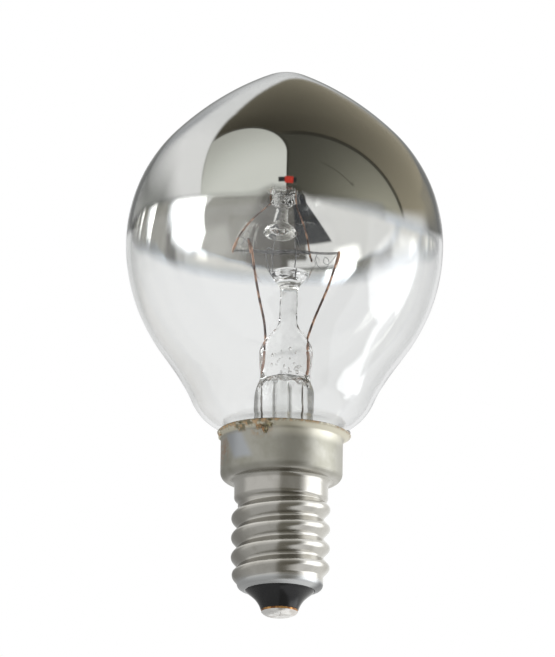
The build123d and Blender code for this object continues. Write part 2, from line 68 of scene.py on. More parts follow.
# Screw shell, as in the solids but for its rolled edge and its uneven lip
SHEET = 0.25
SHELL_BOTTOM = 3.6
ROOT = 6.1
EDGE_RADIUS = 4.95
ROLL_HEIGHT = 0.45
BARREL_RADIUS = 6.65
THREAD_TOP = 16.3
COLLAR_RADIUS = 8.65
COLLAR_BOTTOM = 19.5
COLLAR_TOP = 25.5
LIP_RADIUS = 9.45
LIP_TOP = 26.4
PITCH = 2.822
THREAD_DEPTH = 0.9
CREST_RADIUS = 0.75
RIDGE_HALF = 1.261
THREAD_START = 5.7
THREAD_START_ANGLE = 195.0
THREAD_TURNS = 3.632
RUNOUT_TURNS = 0.2
RUNOUT_DROP = 1.02
CORNER_RADII = (0.75, 0.4, 0.6, 0.75, 1.2, 0.8)
CORNER_STEPS = 8
LIP_SHIFT = 0.3
LIP_LEAN = 0.018
LIP_WAVE = 0.06
SHELL_SEGMENTS = 240
SHELL_STEP = 0.09

# Black glass nose
NOSE_BOTTOM = 0.86
NOSE_TOP = 5.9
NOSE_GAP = 0.03
SEAT_TOP = 5.0
SLEEVE_RADIUS = 0.8
NOSE_SEGMENTS = 144
NOSE_STEPS = 4

# Cement on the lip
BEAD_RADIUS = 0.1
BEAD_SETBACK = 0.2
BEAD_SIDES = 12
BEAD_LUMPS = 0.8
BEAD_AZIMUTHS = range(-94, 80)
CRUMB_AZIMUTHS = range(-60, -4, 4)
BLOB_ROWS = 12
BLOB_SIDES = 20

# Glass stem
FLANGE_BOTTOM = 21.25
FLANGE_TOP = 21.95
FLANGE_WIDTH = 0.8
TUBE_RADIUS = 4.2
TUBE_WALL = 0.7
TUBE_BORE = TUBE_RADIUS - TUBE_WALL
BORE_MIDDLE = 29.0
BORE_TOP = 32.2
ROOF_START = 33.4
ROOF_HEIGHT = 34.1
ROOF_BEND = 2.6
ROOF_RADIUS = 1.9
BORE_SHIFT = 0.08
SHIFT_FROM = 25
UNEVEN_FROM = 32.0
UNEVEN = 0.11
ROOF_UNEVEN = 0.5
BUBBLES = 16
DROPS = 11
STEM_SEGMENTS = 96
STEM_STEPS = 5

# Wires
LEAD_RADIUS = 0.175
SEAL_RADIUS = 0.2
LEAD_SIDES = 14
LEAD_LUMPS = 0.12
LEAD_STEPS = 8
FILAMENT_SAG = 0.12
COIL_RADIUS = 0.15
COIL_PITCH = 0.17
COIL_WIRE = 0.05
COIL_SIDES = 6
COIL_STEPS = 10
TAIL_WIRE = 0.04
TAIL_SIDES = 8
TAIL_STEPS = 8
HOOK_RADIUS = 0.075
HOOK_SIDES = 10
HOOK_STEPS = 6


# Lines of the half section
def polar(centre, radius, angle):
    a = math.radians(angle)
    return (centre[0] + radius * math.cos(a), centre[1] + radius * math.sin(a))


def arc(centre, radius, start, end, steps):
    return [polar(centre, radius, start + (end - start) * i / steps) for i in range(steps + 1)]


def bezier(a, b, c, d, steps):
    points = []
    for i in range(steps + 1):
        t = i / steps
        w = ((1 - t) ** 3, 3 * t * (1 - t) ** 2, 3 * t * t * (1 - t), t ** 3)
        points.append(tuple(sum(k * p[j] for k, p in zip(w, (a, b, c, d))) for j in (0, 1)))
    return points


def joined(*runs):
    line = []
    for run in runs:
        line += run[1:] if line and math.dist(line[-1], run[0]) < 1e-4 else run
    return line


belly_centre = (GLOBE_RADIUS - BELLY_RADIUS, EQUATOR)
shoulder_centre = (GLOBE_RADIUS - SHOULDER_RADIUS, EQUATOR)
crown_centre = polar(shoulder_centre, SHOULDER_RADIUS - CROWN_RADIUS, SHOULDER_ANGLE)
tip_rise = math.sqrt((CROWN_RADIUS - TIP_RADIUS) ** 2 - crown_centre[0] ** 2)
tip_centre = (0, crown_centre[1] + tip_rise)
crown_end = math.degrees(math.atan2(tip_rise, -crown_centre[0]))
fillet_centre = (NECK_RADIUS + NECK_FILLET, NECK_TOP)
curl_centre = polar(fillet_centre, NECK_FILLET + CURL_RADIUS, 180 - CURL_LOW)


def crown_line(inset, start):
    return joined(
        arc(shoulder_centre, SHOULDER_RADIUS - inset, start, SHOULDER_ANGLE, 36),
        arc(crown_centre, CROWN_RADIUS - inset, SHOULDER_ANGLE, crown_end, 20),
        arc(tip_centre, TIP_RADIUS - inset, crown_end, 90, 10),
    )


def globe_line(inset):
    neck = NECK_RADIUS - inset
    low = polar(curl_centre, CURL_RADIUS - inset, -CURL_HIGH)
    low_handle = polar(low, FLANK_HANDLE, 90 - CURL_HIGH)
    high = polar(belly_centre, BELLY_RADIUS - inset, -BELLY_ANGLE)
    high_handle = polar(high, -FLANK_HANDLE, 90 - BELLY_ANGLE)
    return joined(
        [(neck, FLANGE_TOP), (neck, (FLANGE_TOP + NECK_TOP) / 2), (neck, NECK_TOP)],
        arc(fillet_centre, NECK_FILLET + inset, 180, 180 - CURL_LOW, 12),
        arc(curl_centre, CURL_RADIUS - inset, -CURL_LOW, -CURL_HIGH, 14),
        bezier(low, low_handle, high_handle, high, 16),
        arc(belly_centre, BELLY_RADIUS - inset, -BELLY_ANGLE, 0, 24),
        crown_line(inset, 0),
    )


def inset_line(line, distance, lean=0.0, most=0.0):
    """Line moved to its left, by a distance that grows along it at a rate up to a limit."""
    points = []
    run = 0.0
    for i, p in enumerate(line):
        a = Vector(line[max(i - 1, 0)])
        b = Vector(line[min(i + 1, len(line) - 1)])
        along = (b - a).normalized()
        run += math.dist(line[max(i - 1, 0)], p)
        depth = distance + min(lean * run, most)
        points.append((p[0] - along.y * depth, p[1] + along.x * depth))
    return points


# Meshes
def add_piece(name, verts, faces, slot, replaces=(), hollows=0):
    """New piece in millimetres; its last faces, as many as hollows, face into the material."""
    mesh = bpy.data.meshes.new(name)
    mesh.from_pydata([(x * MM, y * MM, z * MM) for x, y, z in verts], [], faces)
    work = bmesh.new()
    work.from_mesh(mesh)
    bmesh.ops.recalc_face_normals(work, faces=work.faces)
    work.faces.ensure_lookup_table()
    if hollows:
        bmesh.ops.reverse_faces(work, faces=work.faces[-hollows:])
    work.to_mesh(mesh)
    work.free()
    mesh.polygons.foreach_set("use_smooth", [True] * len(mesh.polygons))
    piece = bpy.data.objects.new(name, mesh)
    scene.collection.objects.link(piece)
    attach(piece, "root")
    if replaces:
        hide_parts(*replaces)
    return piece


def skin(rings):
    """Faces between neighbouring rings of vertex numbers; a ring of one is a point."""
    faces = []
    for low, high in zip(rings, rings[1:]):
        count = max(len(low), len(high))
        for i in range(count):
            j = (i + 1) % count
            quad = (low[i % len(low)], low[j % len(low)], high[j % len(high)], high[i % len(high)])
            corners = tuple(dict.fromkeys(quad))
            if len(corners) > 2:
                faces.append(corners)
    return faces


def loft(sections, segments, closed, shape=None):
    """Oval rings (height, half width, half depth, shift), with an optional change of each point."""
    verts = []
    rings = []
    for row, (z, half_x, half_y, shift) in enumerate(sections):
        count = 1 if half_x < 1e-6 else segments
        rings.append(range(len(verts), len(verts) + count))
        for i in range(count):
            a = 2 * math.pi * i / segments
            p = (shift + half_x * math.cos(a), half_y * math.sin(a), z)
            verts.append(shape(row, a, p) if shape else p)
    if closed:
        rings.append(rings[0])
    return verts, skin(rings)


def lathe(line, segments, closed, shape=None):
    return loft([(z, r, r, 0) for r, z in line], segments, closed, shape)


def through(keys, steps):
    """Smooth run through points of any dimension, with a few steps between each pair."""
    run = []
    for i in range(len(keys) - 1):
        a, b, c, d = (keys[min(max(i + k, 0), len(keys) - 1)] for k in (-1, 0, 1, 2))
        for s in range(steps):
            t = s / steps
            w = (
                -t + 2 * t * t - t ** 3,
                2 - 5 * t * t + 3 * t ** 3,
                t + 4 * t * t - 3 * t ** 3,
                t ** 3 - t * t,
            )
            run.append(tuple(sum(k * p[j] for k, p in zip(w, (a, b, c, d))) / 2 for j in range(len(a))))
    return run + [tuple(keys[-1])]


def tube(points, radius, sides, lumps=0.0):
    """Round wire along points, with rounded ends and an optional unevenness."""
    path = [Vector(p) for p in points]
    verts = []
    rings = []
    side = None
    for i, p in enumerate(path):
        along = (path[min(i + 1, len(path) - 1)] - path[max(i - 1, 0)]).normalized()
        if side is None:
            side = along.orthogonal().normalized()
        side = (side - along * side.dot(along)).normalized()
        other = along.cross(side)
        if i in (0, len(path) - 1):
            rings.append([len(verts)])
            verts.append(tuple(p))
            continue
        near_end = 0.75 if i in (1, len(path) - 2) else 1.0
        ring = []
        for k in range(sides):
            a = 2 * math.pi * k / sides
            way = side * math.cos(a) + other * math.sin(a)
            swell = 1 + lumps * noise.noise((p + way * radius) * 3.1)
            ring.append(len(verts))
            verts.append(tuple(p + way * radius * near_end * swell))
        rings.append(ring)
    return verts, skin(rings)


def blob(centre, radii, axes, seed, rough):
    """Uneven round lump with three half sizes along three directions."""
    verts = []
    rings = []
    for i in range(BLOB_ROWS + 1):
        rise = math.pi * (i / BLOB_ROWS - 0.5)
        count = 1 if i in (0, BLOB_ROWS) else BLOB_SIDES
        rings.append(range(len(verts), len(verts) + count))
        for k in range(count):
            a = 2 * math.pi * k / BLOB_SIDES
            unit = Vector((math.cos(rise) * math.cos(a), math.cos(rise) * math.sin(a), math.sin(rise)))
            swell = 1 + rough * noise.noise(unit * 1.7 + Vector((seed, 2.3 * seed, 0)))
            p = Vector(centre)
            for size, axis, part in zip(radii, axes, unit):
                p += Vector(axis) * (size * part * swell)
            verts.append(tuple(p))
    return verts, skin(rings)


def gathered(*parts):
    """One mesh of several, one after another."""
    verts = []
    faces = []
    for more_verts, more_faces in parts:
        start = len(verts)
        verts += more_verts
        faces += [tuple(start + i for i in face) for face in more_faces]
    return verts, faces


# Helpers for node trees
def put(tree, socket, value):
    if isinstance(value, bpy.types.NodeSocket):
        tree.links.new(value, socket)
    else:
        socket.default_value = value


def calc(tree, operation, *values):
    node = tree.nodes.new("ShaderNodeMath")
    node.operation = operation
    for socket, value in zip(node.inputs, values):
        put(tree, socket, value)
    return node.outputs[0]


def total(tree, start, *terms):
    """Sum of a start and of each value times its factor."""
    result = start
    for value, factor in terms:
        result = calc(tree, "MULTIPLY_ADD", value, factor, result)
    return result


def ramp(tree, value, low, high, start=0.0, end=1.0):
    """Smooth change from start to end while a value goes from low to high."""
    node = tree.nodes.new("ShaderNodeMapRange")
    node.interpolation_type = "SMOOTHSTEP"
    values = {"Value": value, "From Min": low, "From Max": high, "To Min": start, "To Max": end}
    for name, v in values.items():
        put(tree, node.inputs[name], v)
    return node.outputs["Result"]


def span(tree, value, low, high, soft):
    """Mask that is one between low and high, with soft ends."""
    rise = ramp(tree, value, low - soft, low + soft)
    fall = ramp(tree, value, high - soft, high + soft, 1.0, 0.0)
    return calc(tree, "MULTIPLY", rise, fall)


def both(tree, *masks):
    result = masks[0]
    for mask in masks[1:]:
        result = calc(tree, "MULTIPLY", result, mask)
    return result


def outside(tree, mask):
    return calc(tree, "SUBTRACT", 1.0, mask)


def blend(tree, factor, a, b):
    node = tree.nodes.new("ShaderNodeMix")
    node.data_type = "RGBA"
    put(tree, node.inputs[0], factor)
    for socket, value in ((node.inputs[6], a), (node.inputs[7], b)):
        put(tree, socket, value if isinstance(value, bpy.types.NodeSocket) else (*value, 1.0))
    return node.outputs[2]


def grain(tree, vector, scale, detail=3.0, roughness=0.55):
    node = tree.nodes.new("ShaderNodeTexNoise")
    node.inputs["Scale"].default_value = scale
    node.inputs["Detail"].default_value = detail
    node.inputs["Roughness"].default_value = roughness
    tree.links.new(vector, node.inputs["Vector"])
    return node.outputs["Fac"]


def bump(tree, shader, height, strength, distance):
    node = tree.nodes.new("ShaderNodeBump")
    node.inputs["Strength"].default_value = strength
    node.inputs["Distance"].default_value = distance
    tree.links.new(height, node.inputs["Height"])
    tree.links.new(node.outputs["Normal"], shader.inputs["Normal"])


def split(tree, vector):
    node = tree.nodes.new("ShaderNodeSeparateXYZ")
    tree.links.new(vector, node.inputs[0])
    return node.outputs


def material(name, colour, **values):
    mat = bpy.data.materials.new(name)
    mat.use_nodes = True
    tree = mat.node_tree
    shader = tree.nodes["Principled BSDF"]
    shader.inputs["Base Color"].default_value = (*colour, 1.0)
    for key, value in values.items():
        shader.inputs[key.replace("_", " ")].default_value = value
    where = tree.nodes.new("ShaderNodeTexCoord").outputs["Object"]
    return mat, tree, shader, where


def dress(obj, mat):
    obj.data.materials.clear()
    obj.data.materials.append(mat)


# Materials
def make_clear_glass():
    mat, tree, shader, where = material(
        "clear_glass", (0.985, 0.99, 0.988), Roughness=0.0, IOR=1.5, Transmission_Weight=1.0
    )
    bump(tree, shader, grain(tree, where, 120.0, 1.0), 0.04, 0.0004)
    return mat


def make_stem_glass():
    mat, tree, shader, where = material(
        "stem_glass", (0.996, 0.998, 0.995), Roughness=0.0, IOR=1.46, Transmission_Weight=1.0
    )
    bump(tree, shader, grain(tree, where, 420.0, 2.0), 0.1, 0.0003)
    return mat


def make_mirror_film():
    silver = (0.84, 0.835, 0.81)
    edge_height = 0.0555
    mat, tree, shader, where = material("mirror_film", silver, Metallic=1.0, Roughness=0.025)
    # The film's edge runs unevenly round the globe, softest on the right. In metres, height is how
    # far a point lies above the edge, and soft is half the width of the feathering.
    x, y, z = split(tree, where)
    across = calc(tree, "MULTIPLY", x, y)
    height = total(tree, -edge_height, (z, 1.0), (y, 0.022), (x, 0.05), (across, -2.5))
    height = total(tree, height, (grain(tree, where, 160.0), 0.0006))
    height = total(tree, height, (calc(tree, "MAXIMUM", calc(tree, "MULTIPLY", y, -1.0), 0.0), 0.03))
    to_right = ramp(tree, x, 0.001, 0.012)
    to_back = ramp(tree, y, -0.012, 0.01)
    front = outside(tree, to_back)
    height = total(tree, height, (both(tree, span(tree, x, -0.004, 0.0145, 0.003), front), -0.0009))
    height = total(tree, height, (both(tree, span(tree, x, -0.003, 0.0025, 0.0015), front), -0.0009))
    height = total(tree, height, (ramp(tree, calc(tree, "ABSOLUTE", x), 0.0195, 0.0215), 0.0012))
    height = total(tree, height, (both(tree, ramp(tree, x, 0.012, 0.0132), to_back), -0.0012))
    soft = total(tree, 0.0009, (to_back, 0.0006), (to_right, 0.0009))
    cover = ramp(tree, height, calc(tree, "MULTIPLY", soft, -1.0), soft)
    # It has faded out before the lower border of its mesh
    cover = both(tree, cover, ramp(tree, z, 0.0526, 0.0538))
    put(tree, shader.inputs["Alpha"], cover)
    thin = blend(tree, calc(tree, "MAXIMUM", to_right, to_back), (0.74, 0.74, 0.72), (0.64, 0.72, 0.84))
    put(tree, shader.inputs["Base Color"], blend(tree, cover, thin, silver))
    bump(tree, shader, grain(tree, where, 90.0, 1.0), 0.03, 0.0004)
    return mat


def make_nickel():
    mat, tree, shader, where = material("nickel", (0.6, 0.585, 0.55), Metallic=1.0, Roughness=0.25)
    x, y, z = split(tree, where)
    around = calc(tree, "MULTIPLY", calc(tree, "ARCTAN2", x, calc(tree, "MULTIPLY", y, -1.0)), DEGREES)
    patches = grain(tree, where, 260.0, 3.0)
    specks = grain(tree, where, 1300.0, 4.0)
    streaks = ramp(tree, patches, 0.4, 0.68)
    metal = blend(tree, streaks, (0.5, 0.487, 0.455), (0.41, 0.395, 0.36))
    # Painted shade: the thread's left flank is made darker
    left_shade = both(tree, span(tree, around, -120.0, -56.0, 14.0), ramp(tree, z, 0.0172, 0.0164))
    metal = blend(tree, calc(tree, "MULTIPLY", left_shade, 0.7), metal, (0.27, 0.26, 0.24))
    # Collar: dull film, with a painted highlight that makes its top right paler, and on its left a painted
    # bluish reflection and a brown stain
    collar = ramp(tree, z, 0.0190, 0.0202)
    dull = blend(tree, streaks, (0.4, 0.392, 0.35), (0.33, 0.322, 0.275))
    # Painted highlight: the collar's top right is made paler
    lit_top = both(tree, span(tree, around, -6.0, 78.0, 12.0), ramp(tree, z, 0.0238, 0.0252))
    dull = blend(tree, calc(tree, "MULTIPLY", lit_top, 0.75), dull, (0.68, 0.66, 0.57))
    metal = blend(tree, collar, metal, dull)
    lean = total(tree, 0.0, (around, 1.0), (total(tree, -0.0235, (z, 1.0)), 3500.0))
    # Painted reflection: a slanted bluish patch on the collar's left, which is also made smoother
    blue_reflection = both(tree, span(tree, lean, -58.0, -36.0, 4.0), span(tree, z, 0.0215, 0.0253, 0.0005))
    metal = blend(tree, calc(tree, "MULTIPLY", blue_reflection, 0.85), metal, (0.4, 0.42, 0.45))
    brown = both(tree, span(tree, around, -95.0, -62.0, 5.0), span(tree, z, 0.0215, 0.0247, 0.0006))
    brown = both(tree, brown, ramp(tree, specks, 0.42, 0.62))
    metal = blend(tree, calc(tree, "MULTIPLY", brown, 0.75), metal, (0.36, 0.22, 0.15))
    # Lip: cream, with olive and brown grime along its edge and down the front left
    crumbs = grain(tree, where, 1500.0, 4.0, 0.65)
    blots = grain(tree, where, 620.0, 3.0)
    metal = blend(tree, ramp(tree, z, 0.02535, 0.0258), metal, (0.68, 0.65, 0.54))
    edge = both(tree, ramp(tree, z, 0.02595, 0.02635), ramp(tree, crumbs, 0.36, 0.52))
    smear = both(tree, span(tree, around, -64.0, -8.0, 8.0), ramp(tree, blots, 0.44, 0.56))
    smear = both(tree, smear, ramp(tree, z, 0.0249, 0.0256))
    run = both(tree, span(tree, around, -28.0, -11.0, 5.0), ramp(tree, z, 0.0236, 0.0254))
    run = both(tree, run, ramp(tree, crumbs, 0.42, 0.6))
    grime = calc(tree, "MAXIMUM", edge, calc(tree, "MAXIMUM", smear, run))
    tint = blend(tree, ramp(tree, crumbs, 0.42, 0.62), (0.1, 0.085, 0.04), (0.4, 0.24, 0.11))
    metal = blend(tree, calc(tree, "MULTIPLY", grime, 0.9), metal, tint)
    # Rolled edge: matte and pale, with a painted shadow on its right
    roll = ramp(tree, z, 0.0051, 0.0043)
    metal = blend(tree, roll, metal, (0.52, 0.53, 0.535))
    shade = both(tree, span(tree, around, 62.0, 110.0, 12.0), ramp(tree, z, 0.0048, 0.0042))
    metal = blend(tree, calc(tree, "MULTIPLY", shade, 0.8), metal, (0.05, 0.05, 0.055))
    put(tree, shader.inputs["Base Color"], metal)
    put(tree, shader.inputs["Metallic"], total(tree, 1.0, (grime, -0.85)))
    rough = total(tree, 0.15, (patches, 0.1), (collar, 0.22), (blue_reflection, -0.12), (roll, 0.16), (grime, 0.15))
    put(tree, shader.inputs["Roughness"], rough)
    bump(tree, shader, total(tree, 0.0, (specks, 0.4), (both(tree, grime, crumbs), 2.5)), 0.14, 0.0001)
    return mat


def make_black_glass():
    mat, tree, shader, where = material("black_glass", (0.012, 0.012, 0.013), Roughness=0.12, IOR=1.35)
    put(tree, shader.inputs["Roughness"], total(tree, 0.06, (grain(tree, where, 500.0), 0.2)))
    bump(tree, shader, grain(tree, where, 700.0, 2.0), 0.12, 0.0001)
    return mat


def make_solder():
    mat, tree, shader, where = material("solder", (0.8, 0.79, 0.77), Metallic=1.0, Roughness=0.3)
    tarnish = ramp(tree, grain(tree, where, 700.0, 4.0), 0.42, 0.68)
    tint = blend(tree, tarnish, (0.88, 0.87, 0.855), (0.62, 0.59, 0.56))
    # A fine dark crack from front to back
    x, y = split(tree, where)[:2]
    wander = total(tree, -0.0004, (x, 1.0), (grain(tree, where, 900.0), 0.0008))
    crack = both(tree, span(tree, wander, 0.0001, 0.00018, 0.00003), span(tree, y, -0.0021, 0.0002, 0.0002))
    tint = blend(tree, calc(tree, "MULTIPLY", crack, 0.8), tint, (0.16, 0.15, 0.14))
    put(tree, shader.inputs["Base Color"], tint)
    put(tree, shader.inputs["Roughness"], total(tree, 0.16, (grain(tree, where, 900.0), 0.3)))
    bump(tree, shader, grain(tree, where, 1500.0, 3.0), 0.3, 0.0001)
    return mat


def make_mottled(name, dark, pale, scale, low, high, **values):
    """Metal or cement with two colours in grains of one size."""
    mat, tree, shader, where = material(name, dark, **values)
    mix = ramp(tree, grain(tree, where, scale, 3.0), low, high)
    put(tree, shader.inputs["Base Color"], blend(tree, mix, dark, pale))
    bump(tree, shader, grain(tree, where, 2.0 * scale, 2.0), 0.2, 0.0001)
    return mat


def make_crust():
    mat, tree, shader, where = material("crust", (0.2, 0.13, 0.06), Roughness=0.6)
    x = split(tree, where)[0]
    fine = grain(tree, where, 1500.0, 4.0, 0.7)
    broad = grain(tree, where, 520.0, 2.0)
    tint = blend(tree, ramp(tree, fine, 0.4, 0.62), (0.09, 0.075, 0.035), (0.42, 0.37, 0.22))
    tint = blend(tree, ramp(tree, broad, 0.52, 0.66), tint, (0.38, 0.19, 0.08))
    left_end = both(tree, ramp(tree, x, -0.0074, -0.0086), ramp(tree, fine, 0.62, 0.45))
    tint = blend(tree, left_end, tint, (0.62, 0.6, 0.5))
    put(tree, shader.inputs["Base Color"], tint)
    put(tree, shader.inputs["Roughness"], total(tree, 0.25, (fine, 0.6)))
    bump(tree, shader, fine, 0.6, 0.0002)
    return mat


clear_glass = make_clear_glass()
stem_glass = make_stem_glass()
mirror_film = make_mirror_film()
nickel = make_nickel()
black_glass = make_black_glass()
solder = make_solder()
crust = make_crust()
brass = make_mottled(
    "brass", (0.16, 0.07, 0.03), (0.62, 0.34, 0.12), 1500.0, 0.35, 0.65, Metallic=1.0, Roughness=0.4
)
lead_metal = make_mottled(
    "lead_metal", (0.15, 0.105, 0.095), (0.62, 0.38, 0.27), 600.0, 0.42, 0.64, Metallic=0.9, Roughness=0.33
)
seal_red = make_mottled(
    "seal_red", (0.72, 0.36, 0.25), (0.95, 0.72, 0.6), 900.0, 0.35, 0.65, Metallic=0.3, Roughness=0.4
)
copper = make_mottled(
    "copper", (0.22, 0.2, 0.18), (0.52, 0.46, 0.4), 800.0, 0.35, 0.7, Metallic=0.9, Roughness=0.4
)
tungsten = make_mottled(
    "tungsten", (0.2, 0.2, 0.21), (0.42, 0.42, 0.43), 1500.0, 0.3, 0.7, Metallic=1.0, Roughness=0.42
)
cement = make_mottled("cement", (0.1, 0.06, 0.03), (0.5, 0.38, 0.2), 900.0, 0.3, 0.7, Roughness=0.9)

# Globe and mirror film
globe_section = globe_line(0) + globe_line(WALL)[::-1]
globe_mesh = lathe(globe_section, GLOBE_SEGMENTS, True)
globe = add_piece("globe_glass", *globe_mesh, "clear_glass", ["glass_envelope"])
dress(globe, clear_glass)

film_back = inset_line(crown_line(WALL + FILM_BACK, FILM_START), 0.0, FILM_LEAN, FILM_GROWTH)
film_section = crown_line(WALL + FILM_FRONT, FILM_START) + film_back[::-1]
film_mesh = lathe(film_section, GLOBE_SEGMENTS, True)
film = add_piece("crown_film", *film_mesh, "mirror_film", ["crown_mirror"])
dress(film, mirror_film)


# Screw shell, with its thread as one smooth surface
def rounded(points, radii, steps):
    """Line through corners, each rounded by its own radius, with plain ends."""
    line = [points[0]]
    for before, corner, after, radius in zip(points, points[1:], points[2:], radii):
        b = (Vector(before) - Vector(corner)).normalized()
        a = (Vector(after) - Vector(corner)).normalized()
        half = b.angle(a) / 2
        reach = radius / math.tan(half)
        centre = Vector(corner) + (a + b).normalized() * (radius / math.sin(half))
        start = Vector(corner) + b * reach - centre
        end = Vector(corner) + a * reach - centre
        swing = start.angle(end)
        for i in range(steps + 1):
            t = i / steps
            p = (start * math.sin((1 - t) * swing) + end * math.sin(t * swing)) / math.sin(swing)
            line.append(tuple(centre + p))
    return line + [points[-1]]


def divided(line, step):
    """The same line, with no stretch longer than a step."""
    points = [line[0]]
    for a, b in zip(line, line[1:]):
        count = max(1, math.ceil(math.dist(a, b) / step))
        for i in range(1, count + 1):
            points.append((a[0] + (b[0] - a[0]) * i / count, a[1] + (b[1] - a[1]) * i / count))
    return points


shell_corners = [
    (EDGE_RADIUS, SHELL_BOTTOM),
    (ROOT, SHELL_BOTTOM + ROLL_HEIGHT),
    (ROOT, THREAD_TOP),
    (BARREL_RADIUS, THREAD_TOP + BARREL_RADIUS - ROOT),
    (BARREL_RADIUS, COLLAR_BOTTOM),
    (COLLAR_RADIUS, COLLAR_BOTTOM),
    (COLLAR_RADIUS, COLLAR_TOP),
    (LIP_RADIUS, LIP_TOP),
]
shell_line = rounded(shell_corners, CORNER_RADII, CORNER_STEPS)
shell_outer = divided(shell_line, SHELL_STEP)
shell_inner = inset_line(shell_line, SHEET)
crest_middle = THREAD_DEPTH - CREST_RADIUS
flank_touch = math.degrees(
    math.atan2(-crest_middle, RIDGE_HALF) + math.acos(CREST_RADIUS / math.hypot(RIDGE_HALF, crest_middle))
)
touch = polar((0, crest_middle), CREST_RADIUS, flank_touch)


def ridge(offset):
    """Height of the thread's ridge above its root, at an axial distance from its crest."""
    d = abs(offset)
    if d < touch[0]:
        return crest_middle + math.sqrt(CREST_RADIUS ** 2 - d * d)
    return touch[1] * (RIDGE_HALF - d) / (RIDGE_HALF - touch[0])


def thread_radius(angle, z):
    """Radius of the thread's surface at an angle and a height, or zero away from it."""
    reach = 0.0
    for k in range(-1, math.ceil(THREAD_TURNS) + 2):
        run = (math.degrees(angle) - THREAD_START_ANGLE) / 360 + k
        offset = z - (THREAD_START + PITCH * run)
        if -RUNOUT_TURNS < run < THREAD_TURNS + RUNOUT_TURNS and abs(offset) < RIDGE_HALF:
            out = max(-run, run - THREAD_TURNS, 0) / RUNOUT_TURNS
            reach = max(reach, ROOT + ridge(offset) - RUNOUT_DROP * out)
    return reach


def shell_shape(row, angle, p):
    """Point of the shell with the thread on its outside and the lip made uneven."""
    x, y, z = p
    r = math.hypot(x, y)
    if row < len(shell_outer) and z < THREAD_TOP + RIDGE_HALF:
        r = max(r, thread_radius(angle, z))
    flare = max(0.0, (z - COLLAR_TOP) / (LIP_TOP - COLLAR_TOP))
    wave = LIP_WAVE * noise.noise(Vector((2.0 * math.cos(angle), 2.0 * math.sin(angle), 0.3)))
    x = (r + wave * flare) * math.cos(angle) + LIP_SHIFT * flare
    z -= LIP_LEAN * flare * x
    return (x, (r + wave * flare) * math.sin(angle), z)


shell_mesh = lathe(shell_outer + shell_inner[::-1], SHELL_SEGMENTS, True, shell_shape)
shell = add_piece("screw_shell", *shell_mesh, "nickel_shell", ["cap_shell"])
dress(shell, nickel)


# Black glass nose, flared up to the rolled edge and filling it
NOSE_KEYS = [
    (2.68, NOSE_BOTTOM),
    (2.84, 1.3),
    (3.1, 1.8),
    (3.5, 2.35),
    (4.05, 2.88),
    (4.6, 3.32),
    (4.9, SHELL_BOTTOM),
]
nose_seat = [p for p in inset_line(shell_line, SHEET + NOSE_GAP) if p[1] < SEAT_TOP]
nose_line = through(NOSE_KEYS, NOSE_STEPS) + nose_seat
nose_line += [(nose_seat[-1][0], NOSE_TOP), (SLEEVE_RADIUS, NOSE_TOP), (SLEEVE_RADIUS, NOSE_BOTTOM)]
nose_mesh = lathe(nose_line, NOSE_SEGMENTS, True)
nose = add_piece("nose_glass", *nose_mesh, "black_glass", ["cap_insulator"])
dress(nose, black_glass)


# Cement pressed out over the lip: an uneven bead, with lumps and a run on the front left
def lip_point(azimuth, out, rise):
    """Point by the lip's edge, with the azimuth counted from the front to the right."""
    a = math.radians(azimuth)
    edge = (LIP_RADIUS * math.sin(a), -LIP_RADIUS * math.cos(a), LIP_TOP)
    x, y, z = shell_shape(0, math.atan2(-math.cos(a), math.sin(a)), edge)
    return (x + out * math.sin(a), y - out * math.cos(a), z + rise)


def lip_axes(azimuth):
    """Directions along the lip, outward and up."""
    a = math.radians(azimuth)
    return ((math.cos(a), math.sin(a), 0), (math.sin(a), -math.cos(a), 0), (0, 0, 1))


bead_path = [lip_point(azimuth, -BEAD_SETBACK, 0.0) for azimuth in BEAD_AZIMUTHS]
lumps = [tube(bead_path, BEAD_RADIUS, BEAD_SIDES, BEAD_LUMPS)]
draw = random.Random(7)
for azimuth in CRUMB_AZIMUTHS:
    size = draw.uniform(0.1, 0.2)
    place = lip_point(azimuth + draw.uniform(-1, 1), draw.uniform(-0.35, -0.1), draw.uniform(-0.15, 0.03))
    lumps.append(blob(place, (2.2 * size, 0.7 * size, size), lip_axes(azimuth), azimuth, 0.4))
for azimuth, out, rise, wide, deep, tall in (
    (-18, -0.68, -1.15, 0.4, 0.12, 0.75),
    (-23, -0.55, -0.7, 0.5, 0.13, 0.45),
    (-13, -0.5, -0.6, 0.4, 0.12, 0.4),
    (-80, -0.3, -0.35, 0.55, 0.25, 0.5),
    (-89, -0.4, -0.55, 0.4, 0.22, 0.55),
):
    lumps.append(blob(lip_point(azimuth, out, rise), (wide, deep, tall), lip_axes(azimuth), azimuth, 0.45))
rim = add_piece("cement_rim", *gathered(*lumps), "cement")
dress(rim, crust)

